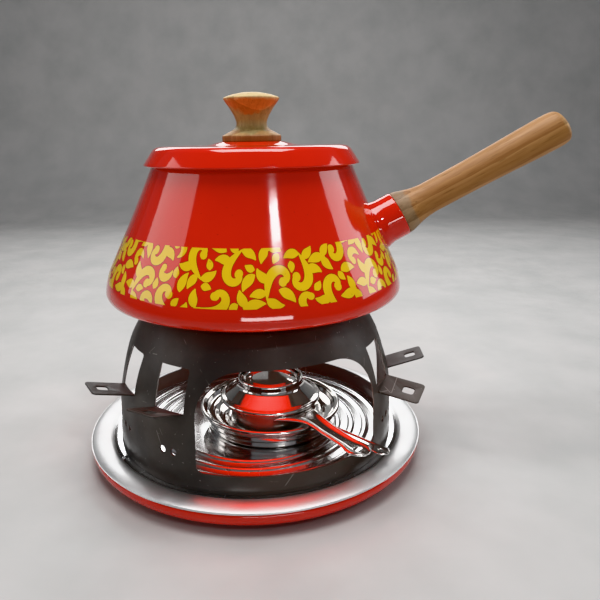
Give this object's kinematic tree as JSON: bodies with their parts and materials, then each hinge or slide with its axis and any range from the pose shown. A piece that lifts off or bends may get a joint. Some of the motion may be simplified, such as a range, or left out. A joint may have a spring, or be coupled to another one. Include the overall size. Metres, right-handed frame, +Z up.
{
  "type": "fondue pot set",
  "caption": "Round lidded enamel pot with a sloping wooden handle, on a domed sheet stand with a spirit burner, drip tray and base plate.",
  "frame": {"origin": "centre of the base plate's underside, on the table", "axes": "+Z up along the axis of the pot; +X towards the pot's handle; the front, with the burner opening, faces -Y"},
  "size_m": [0.3317, 0.2324, 0.2446],
  "materials": {
    "red_enamel": "glossy fired enamel, with yellow scrollwork on the pot's wall",
    "polished_metal": "polished, lightly brushed",
    "dark_paint": "semi-matte dark brown-grey, scratched",
    "chrome": "bright",
    "steel": "plain",
    "brass": "plain",
    "wool": "mineral wool",
    "wood": "turned, oiled, worn"
  },
  "bodies": {
    "base": {"base_plate": "red_enamel"},
    "tray": {"drip_tray": "polished_metal"},
    "stand": {"stand_shell": "dark_paint"},
    "burner": {"burner_pan": "chrome", "pan_handle": "chrome", "fuel_cup": "steel", "absorbent_wool": "wool", "wick_gauze": "steel", "gauze_ring": "steel"},
    "damper": {"damper_ring": "chrome", "damper_handle": "chrome"},
    "snuffer": {"snuffer_cap": "chrome"},
    "pot": {"pot_body": "red_enamel", "handle_socket": "red_enamel", "handle_stud": "steel", "handle_insert": "brass", "wood_handle": "wood"},
    "lid": {"lid_shell": "red_enamel", "lid_knob": "wood", "knob_screw": "steel", "knob_washer": "steel"}
  },
  "joints": [
    {"name": "tray_lift", "type": "slide", "parent": "base", "child": "tray", "axis": [0, 0, 1], "range_m": [0, 0.04]},
    {"name": "stand_lift", "type": "slide", "parent": "tray", "child": "stand", "axis": [0, 0, 1], "range_m": [0, 0.05]},
    {"name": "burner_draw", "type": "slide", "parent": "stand", "child": "burner", "axis": [0.2081, -0.9385, 0.2756], "range_m": [0, 0.15]},
    {"name": "damper_turn", "type": "hinge", "parent": "burner", "child": "damper", "pos_m": [0.01, 0, 0.036], "axis": [0, 0, 1], "range_deg": [-40, 0]},
    {"name": "snuffer_lift", "type": "slide", "parent": "damper", "child": "snuffer", "axis": [0, 0, 1], "range_m": [0, 0.03]},
    {"name": "pot_lift", "type": "slide", "parent": "stand", "child": "pot", "axis": [0, 0, 1], "range_m": [0, 0.1]},
    {"name": "lid_lift", "type": "slide", "parent": "pot", "child": "lid", "axis": [0, 0, 1], "range_m": [0, 0.08]}
  ]
}
